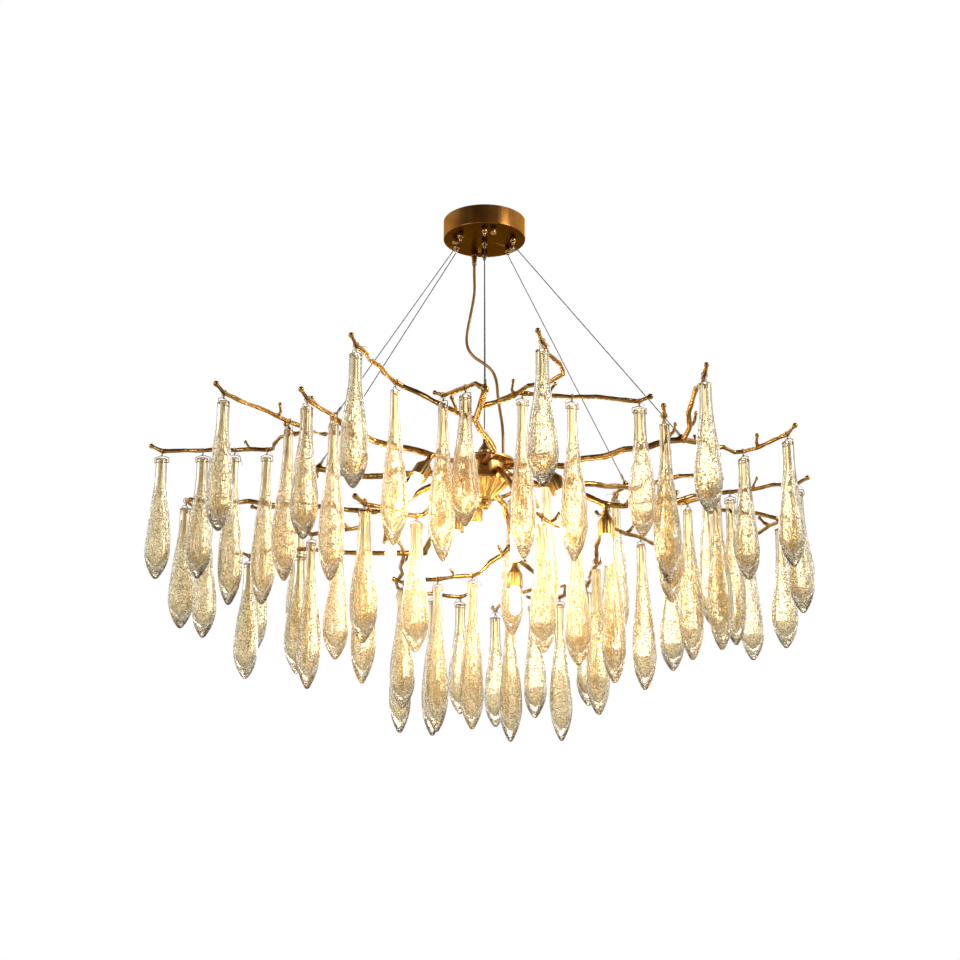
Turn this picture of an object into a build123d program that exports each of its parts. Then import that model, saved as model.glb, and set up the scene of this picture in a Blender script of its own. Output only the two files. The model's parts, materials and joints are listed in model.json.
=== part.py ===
from build123d import *
from math import cos, pi, radians, sin, tan
import os

# Branch chandelier hung from a ceiling, in millimetres.
# The origin is the middle of the ceiling plate's top face, +Z is up and the viewer stands on the -Y side.

# Canopy and ceiling plate
canopy_diameter = 128
canopy_height = 31
canopy_wall = 1.6
plate_diameter = 110
plate_thickness = 3
ceiling_hole_spacing = 70
ceiling_hole_diameter = 5.5
stud_diameter = 4
stud_azimuths = (-80, 17, 111)
stud_tail = 6
fitting_ring_radius = 46
cap_nut_diameter = 9.5
cap_nut_height = 9
terminal_size = (34, 20, 15)

# Cable grippers, cables and power cord
gripper_diameter = 9
gripper_height = 8
gripper_thread_diameter = 6
gripper_nut_width = 10
gripper_nut_height = 3
plunger_diameter = 5
plunger_reach = 5
plunger_travel = 2
plunger_hidden = 3
cable_diameter = 1.6
ferrule_diameter = 4.4
ferrule_length = 12
cord_diameter = 5
gland_place = (-16, 47)
gland_diameter = 11
gland_height = 6
gland_taper = 15
gland_tip_diameter = 7

# Hub
suspension_drop = 361
hub_plate_diameter = 92
hub_plate_thickness = 4
drum_diameter = 64
drum_height = 28
cone_diameter = 76
cone_rim_height = 3
cone_height = 27
cone_tip_diameter = 17
cone_flutes = 12
flute_radius = 5
ball_diameter = 16
rod_diameter = 6
finial_diameter = 21
finial_height = 33
finial_foot_diameter = 12
finial_waist_diameter = 8.6
finial_steps = 7
finial_top_diameter = 6

# Arms
stem_root_radius = 4.8
stem_fork_radius = 4.6
limb_root_radius = 4.2
hook_radius = 3.3
limb_end_radius = 2.6
knuckle_radius = 6.0
bud_radius = 4.2
spur_length = 24
spur_root_radius = 2.9
spur_tip_radius = 2.1
spur_bud_radius = 3.3
root_depth = 13
kink_spacing = 31
kink_size = 4.2
approach_length = 13
limb_overrun = 17
boss_radius = 3.6
cable_boss_length = 9
lamp_boss_length = 10
upper_root_drop = 12
lower_root_drop = 24

# Glass drops and their wire ties
short_length = 185
short_neck_diameter = 18
short_belly_diameter = 41
long_length = 225
long_neck_diameter = 14.4
long_belly_diameter = 39
belly_share = 0.755
drop_neck_straight = 22
drop_bore_diameter = 7
drop_wall = 5.5
drop_base_thickness = 18
drop_tip_radius = 3.2
flank_steps = 8
bowl_steps = 6
bowl_fullness = 1.8
hook_depth = 5
hook_hole_diameter = 2.2
wire_diameter = 1.2
wire_sides = 8
tie_twist_taper = 8
tie_side_room = 1.0
tie_shoulder = 7.4
tie_peak = 11.4
hook_rise = 18

# Lamps
cup_length = 38
cup_top_diameter = 9
cup_mouth_diameter = 25
cup_wall = 1.6
cup_flutes = 10
cup_flute_radius = 2.4
socket_length = 13
bulb_diameter = 16
bulb_base_diameter = 12
bulb_base_length = 9
bulb_length = 52

# Clearances
turn_room = 0.2
slip_room = 0.4

SHORT = "short"
LONG = "long"

# Heights that follow from the sizes above
canopy_floor_z = -canopy_height
gripper_mouth_z = canopy_floor_z - gripper_height
plunger_tip_z = gripper_mouth_z - plunger_reach
hub_top_z = -(canopy_height + suspension_drop)
hub_floor_z = hub_top_z - hub_plate_thickness
drum_floor_z = hub_floor_z - drum_height
cone_tip_z = drum_floor_z - cone_rim_height - cone_height
finial_top_z = hub_top_z + finial_height


def polar(azimuth, radius, height):
    """Point seen from above: azimuth 0 is towards the viewer, 90 to the right."""
    angle = radians(azimuth)
    return Vector(radius * sin(angle), -radius * cos(angle), height)


# Route of the power cord from the gland's tip to the hub plate
cord_route = (
    (-16, 47, -52),
    (-16, 47, -72),
    (-15, 42, -100),
    (-21, 33, -140),
    (-28, 27, -178),
    (-27, 23, -202),
    (-17, 20, -218),
    (0, 17, -230),
    (13, 15, -243),
    (19, 12, -262),
    (20, 9, -284),
    (23, 6, -308),
    (27, 0, -335),
    (28, -5, -362),
    (28, -5, -391.7),
)

# Each arm: azimuth at the hub, its fork (azimuth, radius, height above the hub plate),
# lamp place as a share of the fork's radius (0 for no lamp), lamp lean outwards in degrees,
# whether it is an upper arm
arms = {
    "near": (0, (0, 262, 18), 0, 0, True),
    "near_left": (-54, (-55, 262, 16), 0.42, 34, True),
    "far_left": (-108, (-108, 272, 14), 0.45, 36, True),
    "far": (180, (180, 268, 12), 0.45, 30, True),
    "far_right": (126, (127, 285, 12), 0.33, 30, True),
    "near_right": (74, (75, 300, 8), 0.30, 24, True),
    "low_near_left": (-30, (-46, 96, -84), 1, 0, False),
    "low_left": (-90, (-95, 140, -76), 1, 0, False),
    "low_far_left": (-150, (-150, 190, -98), 0.5, 0, False),
    "low_far_right": (160, (165, 185, -104), 1, 0, False),
    "low_right": (90, (88, 180, -70), 1, 0, False),
    "low_near_right": (30, (25, 105, -88), 1, 0, False),
}

# Each spray of drops: its arm, its height above the hub plate, points (azimuth, radius, height) that its
# limb passes first, and its hooks (across, deep, size), which lie in one straight line, from the inside out
sprays = {
    "near_1": ("near", 42, (), ((-126, -178, LONG), (-172, -318, SHORT))),
    "near_2": ("near", 14, ((-3, 252, 31),), ((-27, -232, SHORT), (-58, -200, LONG))),
    "near_3": ("near", 18, (), ((52, -198, LONG), (122, -184, LONG), (218, -164, SHORT))),
    "near_4": ("near", 32, ((22, 285, 40),), ((74, -358, SHORT),)),
    "near_left_1": ("near_left", -6, (), ((-212, -173, LONG), (-243, -241, SHORT))),
    "near_left_2": ("near_left", 14, ((-77, 241, 24),), ((-285, -88, LONG), (-362, -209, SHORT))),
    "near_left_3": (
        "near_left",
        0,
        ((-80, 305, 20),),
        ((-327, 2, LONG), (-376, 4, LONG), (-424, 6, SHORT), (-486, 9, SHORT)),
    ),
    "far_left_1": ("far_left", -13, (), ((-300, 240, LONG), (-372, 285, LONG))),
    "far_1": ("far", 7, (), ((45, 254, LONG), (97, 120, LONG))),
    "far_right_1": ("far_right", -8, (), ((212, 205, LONG), (208, 308, LONG))),
    "far_right_2": ("far_right", -3, (), ((348, 127, LONG), (382, 248, LONG))),
    "near_right_1": ("near_right", -4, (), ((388, -2, SHORT), (440, -84, SHORT))),
    "near_right_2": ("near_right", -20, (), ((262, -98, LONG), (247, -212, LONG))),
    "near_right_3": ("near_right", 26, ((58, 350, 50),), ((300, -250, SHORT),)),
    "low_left_1": ("low_left", -63, (), ((-455, 60, SHORT), (-432, 130, SHORT))),
    "low_left_2": ("low_left", -110, (), ((-180, 38, LONG), (-222, 61, SHORT), (-265, 84, LONG))),
    "low_far_left_1": ("low_far_left", -113, ((-131, 250, -100),), ((-290, 160, SHORT), (-375, 205, SHORT))),
    "low_far_left_2": ("low_far_left", -140, (), ((-137, 322, LONG), (-85, 352, LONG), (-40, 378, SHORT))),
    "low_far_right_1": (
        "low_far_right",
        -158,
        ((160, 250, -118), (163, 286, -132)),
        ((42, 295, LONG), (19, 401, SHORT)),
    ),
    "low_far_right_2": ("low_far_right", -153, ((154, 300, -128),), ((125, 320, LONG), (83, 338, SHORT))),
    "low_far_right_3": ("low_far_right", -164, (), ((-19, 125, LONG), (-73, 151, LONG), (-127, 177, SHORT))),
    "low_right_1": ("low_right", -108, (), ((191, 45, LONG), (241, 104, LONG), (291, 163, SHORT))),
    "low_right_2": ("low_right", -83, (), ((301, -2, LONG), (333, -77, LONG))),
    "low_right_3": ("low_right", -48, (), ((375, 62, LONG), (470, 23, SHORT))),
    "low_right_4": ("low_right", -86, ((105, 375, -48),), ((455, 95, SHORT), (420, 190, SHORT))),
    "low_right_5": ("low_right", -143, (), ((172, 121, LONG), (167, 279, SHORT))),
    "low_near_left_1": ("low_near_left", -128, (), ((-98, -86, SHORT), (-168, -146, SHORT))),
    "low_near_right_1": ("low_near_right", -130, (), ((81, -90, SHORT), (136, 5, SHORT))),
}

# Hook point, hook line, twig's heading above it and drop size of every tie, filled in as the limbs are made
tie_places = []

os.makedirs("parts", exist_ok=True)


def save(builder, name):
    """Label one finished piece and write its file."""
    builder.part.label = name
    export_step(builder.part, f"parts/{name}.step")


def kinked(start, end, phase):
    """Points between two ends of a twig, set off to alternate sides as cast branches are."""
    run = end - start
    side = run.cross(Vector(0, 0, 1)).normalized()
    steps = round(run.length / kink_spacing)
    points = []
    for step in range(1, steps):
        sway = kink_size * sin(2.4 * step + phase)
        lift = 0.6 * kink_size * cos(1.9 * step + phase)
        points.append(start + run * (step / steps) + side * sway + Vector(0, 0, lift))
    return points


def twig(sections):
    """Tapering twig: a ruled loft through circles given as (point, radius, direction)."""
    across = sections[0][2].cross(Vector(0, 0.3, 1)).normalized()
    with BuildPart() as wood:
        for point, radius, direction in sections:
            across = (across - direction * across.dot(direction)).normalized()
            with BuildSketch(Plane(point, x_dir=across, z_dir=direction)):
                Circle(radius)
        loft(ruled=True)
    return wood.part


def ball(point, radius):
    """Round bud, or knuckle where twigs part."""
    with BuildPart() as bud:
        with Locations(point):
            Sphere(radius)
    return bud.part


def boss(point, direction, length):
    """Short round peg on a stem, whose flat end carries a lamp or a cable."""
    with BuildPart() as peg:
        with BuildSketch(Plane(point, z_dir=direction)):
            Circle(boss_radius)
        extrude(amount=length)
    return peg.part


def with_directions(points, radii, fixed):
    """Sections along a row of points, facing along the row except where a direction is fixed."""
    sections = []
    last = len(points) - 1
    for i, point in enumerate(points):
        before = (point - points[max(i - 1, 0)]).normalized() if i else Vector(0, 0, 0)
        after = (points[min(i + 1, last)] - point).normalized() if i < last else Vector(0, 0, 0)
        direction = fixed.get(i, (before + after).normalized())
        sections.append((point, radii[i], direction))
    return sections


def tapered(count, thick, thin):
    """Radii that fall evenly from the thick end to the thin one."""
    return [thick + (thin - thick) * i / max(count - 1, 1) for i in range(count)]


def spur(point, heading, turn):
    """Side shoot that leaves a twig sideways and upwards and ends in a bud."""
    side = heading.cross(Vector(0, 0, 1)).normalized() * turn
    up = Vector(0, 0, 1)
    middle = point + (side * 0.6 + up * 0.45 + heading * 0.35) * (spur_length * 0.5)
    tip = middle + (side * 0.25 + up * 0.75 + heading * 0.5) * (spur_length * 0.5)
    points = [point, middle, tip]
    shoot = twig(with_directions(points, tapered(3, spur_root_radius, spur_tip_radius), {}))
    return [shoot, ball(tip, spur_bud_radius)]


def stem_points(name):
    """Middle line of an arm from its seat in the hub to its fork."""
    azimuth, fork, lamp_share, lamp_lean, upper = arms[name]
    root_z = hub_top_z - (upper_root_drop if upper else lower_root_drop)
    root = polar(azimuth, drum_diameter / 2 - root_depth, root_z)
    collar = polar(azimuth, drum_diameter / 2 + 10, root_z)
    fork_point = polar(fork[0], fork[1], hub_top_z + fork[2])
    halfway = (azimuth + fork[0]) / 2
    if upper:
        bends = [
            polar(halfway + 7, fork[1] * 0.40, root_z - 2),
            polar(halfway - 4, fork[1] * 0.72, (root_z + fork_point.Z) / 2 - 3),
        ]
    else:
        collar_radius = drum_diameter / 2 + 10
        bend_radius = collar_radius + (fork[1] - collar_radius) * 0.5
        bends = [polar(halfway, bend_radius, root_z + (fork_point.Z - root_z) * 0.38)]
    points = [root]
    for place in [collar] + bends + [fork_point]:
        if len(points) > 1:
            points += kinked(points[-1], place, len(points))
        points.append(place)
    return points


def spray_hooks(name):
    """Hook points of a spray and the level line that they hang on."""
    arm, height, way, hooks = sprays[name]
    points = [Vector(x, y, hub_top_z + height) for x, y, size in hooks]
    if len(points) > 1:
        line = (points[-1] - points[0]).normalized()
    else:
        before = polar(way[-1][0], way[-1][1], points[0].Z)
        line = (points[0] - before).normalized()
    middle_points = [points[0] + line * line.dot(point - points[0]) for point in points]
    return middle_points, line


def limb(name, wood, phase):
    """One limb that leaves the arm's nearest wood and runs over all the hooks of its spray."""
    arm, height, way, hooks = sprays[name]
    points, line = spray_hooks(name)
    tops = [point + Vector(0, 0, hook_rise) for point in points]
    stations = [polar(a, r, hub_top_z + h) for a, r, h in way]
    goal = (stations + tops)[0]
    start, start_radius = min(wood, key=lambda place: (place[0] - goal).length)
    coming = tops[0] - ([start] + stations)[-1]
    heading = (coming.normalized() + line).normalized()
    if coming.length > approach_length * 2.5:
        stations.append(tops[0] - heading * approach_length)
    route = [start]
    for station in stations:
        route += kinked(route[-1], station, phase)
        route.append(station)
    root_count = len(route)
    radii = tapered(root_count, min(limb_root_radius, start_radius * 0.92), hook_radius)
    headings = [Vector(heading.X + line.X, heading.Y + line.Y, 0).normalized()] + [line] * (len(tops) - 1)
    fixed = {}
    for i, top in enumerate(tops):
        if i:
            between = kinked(route[-1], top, phase + i)
            route += between
            radii += [hook_radius] * len(between)
        fixed[len(route)] = headings[i]
        route.append(top)
        radii.append(hook_radius)
        tie_places.append((points[i], line, headings[i], hooks[i][2]))
    route.append(tops[-1] + line * limb_overrun + Vector(0, 0, limb_overrun * 0.5))
    radii.append(limb_end_radius)
    pieces = [twig(with_directions(route, radii, fixed)), ball(route[-1], bud_radius)]
    turn = 1 if phase % 2 else -1
    if root_count > 3:
        pieces += spur(route[1], (route[2] - route[1]).normalized(), turn)
    if len(route) > root_count + 3:
        pieces += spur(route[root_count + 1], line, -turn)
    wood += list(zip(route[1:root_count - 1], radii[1:root_count - 1]))
    return pieces


def flank(low, high, steps):
    """Points of a smooth flank from one (radius, height) to another, upright at both ends."""
    points = []
    for step in range(steps + 1):
        share = step / steps
        ease = (1 - cos(pi * share)) / 2
        points.append((low[0] + (high[0] - low[0]) * ease, low[1] + (high[1] - low[1]) * share))
    return points


def bowl(rim, floor, steps):
    """Points of a rounded end from the rim's (radius, height) down to the floor's, upright at the rim."""
    points = []
    for step in range(steps + 1):
        angle = pi / 2 * step / steps
        radius = floor[0] + (rim[0] - floor[0]) * cos(angle) ** bowl_fullness
        points.append((radius, rim[1] + (floor[1] - rim[1]) * sin(angle)))
    return points


def lamp_place(name):
    """Point on the stem that carries the lamp and the way the lamp points."""
    lamp_share, lamp_lean = arms[name][2:4]
    points = stem_points(name)
    reach = lamp_share * arms[name][1][1]
    point = min(points, key=lambda place: abs(Vector(place.X, place.Y, 0).length - reach))
    outwards = Vector(point.X, point.Y, 0).normalized()
    lean = radians(lamp_lean)
    return point, outwards * sin(lean) - Vector(0, 0, 1) * cos(lean)


def cable_place(name):
    """Cable's foot on the arm and the way the cable climbs to its gripper."""
    fork_point = stem_points(name)[-1]
    top = polar(arms[name][0], fitting_ring_radius, plunger_tip_z)
    return fork_point, (top - fork_point).normalized()


upper_arms = [name for name in arms if arms[name][4]]
lamp_arms = [name for name in arms if arms[name][2]]
gripper_places = [polar(arms[name][0], fitting_ring_radius, 0) for name in upper_arms] + [Vector(0, 0, 0)]
stud_places = [polar(azimuth, fitting_ring_radius, 0) for azimuth in stud_azimuths]


# Ceiling plate with two screw holes, a wiring hole in the middle and three welded studs for the canopy
stud_length = canopy_height - plate_thickness + stud_tail
with BuildPart() as ceiling_plate:
    with BuildSketch(Plane.XY.offset(-plate_thickness)):
        Circle(plate_diameter / 2)
        with GridLocations(ceiling_hole_spacing, 1, 2, 1):
            Circle(ceiling_hole_diameter / 2, mode=Mode.SUBTRACT)
        Circle(cord_diameter * 1.5, mode=Mode.SUBTRACT)
    extrude(amount=plate_thickness)
    with BuildSketch(Plane.XY.offset(-plate_thickness)):
        with Locations(*stud_places):
            Circle(stud_diameter / 2)
    extrude(amount=-stud_length)
save(ceiling_plate, "ceiling_plate")

# Canopy: a shallow drum, open towards the ceiling
with BuildPart() as canopy_shell:
    with BuildSketch(Plane.XY.offset(canopy_floor_z)):
        Circle(canopy_diameter / 2)
    extrude(amount=canopy_height)
    rim = canopy_shell.faces().sort_by(Axis.Z)[0].edges()
    fillet(rim, canopy_wall)
    with BuildSketch(Plane.XY.offset(canopy_floor_z + canopy_wall)):
        Circle(canopy_diameter / 2 - canopy_wall)
    extrude(amount=canopy_height, mode=Mode.SUBTRACT)
    with BuildSketch(Plane.XY.offset(canopy_floor_z)):
        with Locations(*stud_places):
            Circle(stud_diameter / 2 + turn_room)
        with Locations(*gripper_places):
            Circle(gripper_thread_diameter / 2 + turn_room)
        with Locations(gland_place):
            Circle(cord_diameter / 2 + slip_room)
    extrude(amount=canopy_wall, mode=Mode.SUBTRACT)
save(canopy_shell, "canopy_shell")

# Knurled cap nuts under the canopy
with BuildPart() as cap_nuts:
    with BuildSketch(Plane.XY.offset(canopy_floor_z)):
        with Locations(*stud_places):
            Circle(cap_nut_diameter / 2)
    extrude(amount=-cap_nut_height)
    fillet(cap_nuts.edges().group_by(Axis.Z)[0], cap_nut_diameter * 0.2)
    with BuildSketch(Plane.XY.offset(canopy_floor_z)):
        with Locations(*stud_places):
            Circle(stud_diameter / 2 + turn_room / 2)
    extrude(amount=-stud_tail, mode=Mode.SUBTRACT)
save(cap_nuts, "cap_nuts")

# Terminal block on the plate, where the house wiring meets the cord
with BuildPart() as terminal_block:
    with BuildSketch(Plane.XY.offset(-plate_thickness)):
        with Locations((-terminal_size[0] * 0.35, terminal_size[1] * 0.9)):
            Rectangle(terminal_size[0], terminal_size[1])
    extrude(amount=-terminal_size[2])
    fillet(terminal_block.edges().filter_by(Axis.Z), 2)
    with Locations(terminal_block.faces().sort_by(Axis.Y)[0]):
        with GridLocations(terminal_size[0] / 3, 1, 3, 1):
            Hole(cord_diameter * 0.4, depth=terminal_size[1] * 0.4)
save(terminal_block, "terminal_block")

# Cable grippers: threaded barrel through the canopy, round body below it and a lock nut inside
with BuildPart() as cable_grippers:
    with BuildSketch(Plane.XY.offset(canopy_floor_z)):
        with Locations(*gripper_places):
            Circle(gripper_diameter / 2)
    extrude(amount=-gripper_height)
    chamfer(cable_grippers.edges().group_by(Axis.Z)[0], gripper_diameter * 0.1)
    with BuildSketch(Plane.XY.offset(canopy_floor_z)):
        with Locations(*gripper_places):
            Circle(gripper_thread_diameter / 2)
    extrude(amount=canopy_wall)
    with BuildSketch(Plane.XY.offset(canopy_floor_z + canopy_wall)):
        with Locations(*gripper_places):
            RegularPolygon(gripper_nut_width / 2, 6, major_radius=False)
    extrude(amount=gripper_nut_height)
    with BuildSketch(Plane.XY.offset(gripper_mouth_z)):
        with Locations(*gripper_places):
            Circle(plunger_diameter / 2 + turn_room)
    extrude(amount=plunger_hidden + plunger_travel + turn_room, mode=Mode.SUBTRACT)
save(cable_grippers, "cable_grippers")

# Release plungers, pushed up into the grippers to let a cable slide
plunger_top_z = gripper_mouth_z + plunger_hidden
with BuildPart() as gripper_plungers:
    with BuildSketch(Plane.XY.offset(plunger_tip_z)):
        with Locations(*gripper_places):
            Circle(plunger_diameter / 2)
    extrude(amount=plunger_top_z - plunger_tip_z)
    chamfer(gripper_plungers.edges().group_by(Axis.Z)[0], plunger_diameter * 0.2)
save(gripper_plungers, "gripper_plungers")

# Gland with a tapered strain relief, where the cord leaves the canopy
gland_tip_z = canopy_floor_z - gland_height - gland_taper
with BuildPart() as cord_gland:
    with BuildSketch(Plane.XY.offset(canopy_floor_z)):
        with Locations(gland_place):
            Circle(gland_diameter / 2)
    extrude(amount=-gland_height)
    fillet(cord_gland.edges().group_by(Axis.Z)[0], gland_height * 0.2)
    with Locations((gland_place[0], gland_place[1], canopy_floor_z - gland_height)):
        Cone(
            gland_tip_diameter / 2,
            gland_diameter * 0.42,
            gland_taper,
            align=(Align.CENTER, Align.CENTER, Align.MAX),
        )
    with BuildSketch(Plane.XY.offset(canopy_floor_z)):
        with Locations(gland_place):
            Circle(cord_diameter / 2)
    extrude(amount=-(gland_height + gland_taper * 0.8), mode=Mode.SUBTRACT)
save(cord_gland, "cord_gland")

# Power cord, hanging free from the gland to the hub plate
cord_points = [Vector(*point) for point in cord_route]
runs = [after - before for before, after in zip(cord_points, cord_points[1:])]
cord_radii = []
for before, after in zip(runs, runs[1:]):
    half_turn = radians(before.get_angle(after) / 2)
    cord_radii.append(0.45 * min(before.length, after.length) / tan(half_turn))
with BuildPart() as power_cord:
    with BuildLine() as cord_path:
        FilletPolyline(*cord_points, radius=cord_radii)
    with BuildSketch(Plane(cord_points[0], z_dir=runs[0])):
        Circle(cord_diameter / 2)
    sweep(path=cord_path.line)
save(power_cord, "power_cord")
cord_length = cord_path.wires()[0].length
cord_volume = power_cord.part.faces().sort_by(Axis.Z)[-1].area * cord_length
print("cord radii", [round(radius) for radius in cord_radii], "least", round(min(cord_radii)))
print("cord length", round(cord_length), "volume", round(power_cord.part.volume), round(cord_volume))

# Suspension cables: one to each upper arm and one to the hub
cable_radius = cable_diameter / 2
with BuildPart() as suspension_cables:
    for name in upper_arms:
        foot, climb = cable_place(name)
        head = polar(arms[name][0], fitting_ring_radius, plunger_tip_z) - climb * cable_diameter
        low = foot + climb * (cable_boss_length + ferrule_length)
        with BuildSketch(Plane(low, z_dir=climb)):
            Circle(cable_radius)
        extrude(amount=(head - low).length)
    with BuildSketch(Plane.XY.offset(finial_top_z + ferrule_length)):
        Circle(cable_radius)
    extrude(amount=plunger_tip_z - slip_room - finial_top_z - ferrule_length)
save(suspension_cables, "suspension_cables")

# Crimp ferrules at the cables' lower ends
with BuildPart() as cable_ferrules:
    for name in upper_arms:
        foot, climb = cable_place(name)
        with BuildSketch(Plane(foot + climb * cable_boss_length, z_dir=climb)):
            Circle(ferrule_diameter / 2)
        extrude(amount=ferrule_length)
    with BuildSketch(Plane.XY.offset(finial_top_z)):
        Circle(ferrule_diameter / 2)
    extrude(amount=ferrule_length)
save(cable_ferrules, "cable_ferrules")

# Threaded rod that clamps the hub together
rod_foot_z = cone_tip_z - ball_diameter * 0.6
rod_head_z = hub_top_z + finial_height * 0.35
with BuildPart() as hub_rod:
    with BuildSketch(Plane.XY.offset(rod_foot_z)):
        Circle(rod_diameter / 2)
    extrude(amount=rod_head_z - rod_foot_z)
save(hub_rod, "hub_rod")

# Turned finial on top of the hub, which holds the middle cable
finial_waist = (finial_waist_diameter / 2, hub_top_z + finial_height * 0.12)
finial_swell = (finial_diameter / 2, hub_top_z + finial_height * 0.42)
finial_neck = (finial_top_diameter / 2, finial_top_z - finial_height * 0.12)
with BuildPart() as hub_finial:
    with BuildSketch(Plane.XZ):
        with BuildLine():
            Polyline(
                (0, hub_top_z),
                (finial_foot_diameter / 2, hub_top_z),
                (finial_foot_diameter / 2, hub_top_z + finial_height * 0.06),
                *flank(finial_waist, finial_swell, finial_steps),
                *flank(finial_swell, finial_neck, finial_steps)[1:],
                (finial_top_diameter / 2, finial_top_z),
                (0, finial_top_z),
                close=True,
            )
        make_face()
    revolve(axis=Axis.Z)
    with BuildSketch(Plane.XY.offset(hub_top_z)):
        Circle(rod_diameter / 2 + turn_room / 2)
    extrude(amount=rod_head_z - hub_top_z, mode=Mode.SUBTRACT)
save(hub_finial, "hub_finial")

# Hub plate, which the cord reaches from above
with BuildPart() as hub_plate:
    with BuildSketch(Plane.XY.offset(hub_floor_z)):
        Circle(hub_plate_diameter / 2)
    extrude(amount=hub_plate_thickness)
    fillet(hub_plate.edges(), hub_plate_thickness * 0.3)
    with BuildSketch(Plane.XY.offset(hub_floor_z)):
        Circle(rod_diameter / 2 + turn_room / 2)
    extrude(amount=hub_plate_thickness, mode=Mode.SUBTRACT)
save(hub_plate, "hub_plate")

# Drum that the arms plug into, each in its own radial seat
with BuildPart() as hub_drum:
    with BuildSketch(Plane.XY.offset(drum_floor_z)):
        Circle(drum_diameter / 2)
        Circle(rod_diameter / 2 + turn_room / 2, mode=Mode.SUBTRACT)
    extrude(amount=drum_height)
    for name in arms:
        root = stem_points(name)[0]
        outwards = polar(arms[name][0], 1, 0)
        with BuildSketch(Plane(root, z_dir=outwards)):
            Circle(stem_root_radius + turn_room)
        extrude(amount=drum_diameter / 2, mode=Mode.SUBTRACT)
save(hub_drum, "hub_drum")

# Fluted cone under the drum
cone_top_radius = cone_diameter / 2
cone_slope = Vector(cone_tip_diameter / 2 - cone_top_radius, 0, -cone_height)
with BuildPart() as hub_cone:
    with BuildSketch(Plane.XZ):
        with BuildLine():
            Polyline(
                (0, drum_floor_z),
                (cone_top_radius, drum_floor_z),
                (cone_top_radius, drum_floor_z - cone_rim_height),
                (cone_tip_diameter / 2, cone_tip_z),
                (0, cone_tip_z),
                close=True,
            )
        make_face()
    revolve(axis=Axis.Z)
    with PolarLocations(0, cone_flutes):
        with Locations(Plane((cone_top_radius, 0, drum_floor_z - cone_rim_height * 1.6), z_dir=cone_slope)):
            Cone(
                flute_radius,
                flute_radius * 0.25,
                cone_slope.length * 0.92,
                align=(Align.CENTER, Align.CENTER, Align.MIN),
                mode=Mode.SUBTRACT,
            )
    with BuildSketch(Plane.XY.offset(cone_tip_z)):
        Circle(rod_diameter / 2 + turn_room / 2)
    extrude(amount=drum_floor_z - cone_tip_z, mode=Mode.SUBTRACT)
save(hub_cone, "hub_cone")

# Ball nut that closes the hub from below
with BuildPart() as hub_ball:
    with Locations((0, 0, cone_tip_z - ball_diameter * 0.42)):
        Sphere(ball_diameter / 2)
    with BuildSketch(Plane.XY.offset(cone_tip_z)):
        Circle(ball_diameter)
    extrude(amount=ball_diameter, mode=Mode.SUBTRACT)
    with BuildSketch(Plane.XY.offset(rod_foot_z)):
        Circle(rod_diameter / 2 + turn_room / 2)
    extrude(amount=cone_tip_z - rod_foot_z, mode=Mode.SUBTRACT)
save(hub_ball, "hub_ball")

# Cast arms: a stem from the hub, its knuckle, and one limb for each spray of drops
for name in arms:
    route = stem_points(name)
    radii = tapered(len(route), stem_root_radius, stem_fork_radius)
    fixed_ends = {0: polar(arms[name][0], 1, 0), 1: polar(arms[name][0], 1, 0)}
    pieces = [twig(with_directions(route, radii, fixed_ends)), ball(route[-1], knuckle_radius)]
    wood = list(zip(route[3:], radii[3:]))
    for order, spray in enumerate(spray for spray in sprays if sprays[spray][0] == name):
        pieces += limb(spray, wood, order)
    if name in lamp_arms:
        pieces.append(boss(*lamp_place(name), lamp_boss_length))
    if name in upper_arms:
        pieces.append(boss(*cable_place(name), cable_boss_length))
    with BuildPart() as arm:
        for piece in pieces:
            add(piece)
    save(arm, f"arm_{name}")


# Lamp cup, its ceramic socket and its capsule bulb, built along +Z from the boss
cup_slope = Vector((cup_mouth_diameter - cup_top_diameter) / 2, 0, cup_length * 0.8)
cup_bore_radius = cup_mouth_diameter / 2 - cup_wall
socket_floor = cup_length * 0.45
socket_radius = cup_bore_radius - turn_room
with BuildPart() as lamp_cup:
    with BuildSketch(Plane.XZ):
        with BuildLine():
            Polyline(
                (0, 0),
                (cup_top_diameter / 2, 0),
                (cup_top_diameter / 2, cup_length * 0.1),
                (cup_mouth_diameter / 2, cup_length * 0.45),
                (cup_mouth_diameter / 2, cup_length),
                (0, cup_length),
                close=True,
            )
        make_face()
    revolve(axis=Axis.Z)
    with BuildSketch(Plane.XY.offset(socket_floor)):
        Circle(cup_bore_radius)
    extrude(amount=cup_length - socket_floor, mode=Mode.SUBTRACT)
    with PolarLocations(cup_mouth_diameter / 2 + cup_flute_radius * 0.72, cup_flutes):
        Cylinder(
            cup_flute_radius,
            cup_length,
            align=(Align.CENTER, Align.CENTER, Align.MIN),
            mode=Mode.SUBTRACT,
        )
with BuildPart() as lamp_socket:
    with BuildSketch(Plane.XY.offset(socket_floor)):
        Circle(socket_radius)
    extrude(amount=socket_length)
    with Locations((0, 0, socket_floor + socket_length)):
        with GridLocations(bulb_base_diameter * 0.45, 1, 2, 1):
            Hole(1, depth=socket_length * 0.6)
bulb_seat = socket_floor + socket_length
bulb_radius = bulb_diameter / 2
with BuildPart() as lamp_bulb:
    with BuildSketch(Plane.XZ):
        with BuildLine():
            Polyline(
                (0, bulb_seat),
                (bulb_base_diameter / 2, bulb_seat),
                (bulb_base_diameter / 2, bulb_seat + bulb_base_length),
                (bulb_radius, bulb_seat + bulb_base_length + 2),
                (bulb_radius, bulb_seat + bulb_length - bulb_radius),
            )
            RadiusArc(
                (bulb_radius, bulb_seat + bulb_length - bulb_radius),
                (0, bulb_seat + bulb_length),
                -bulb_radius,
            )
            Line((0, bulb_seat + bulb_length), (0, bulb_seat))
        make_face()
    revolve(axis=Axis.Z)

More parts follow.
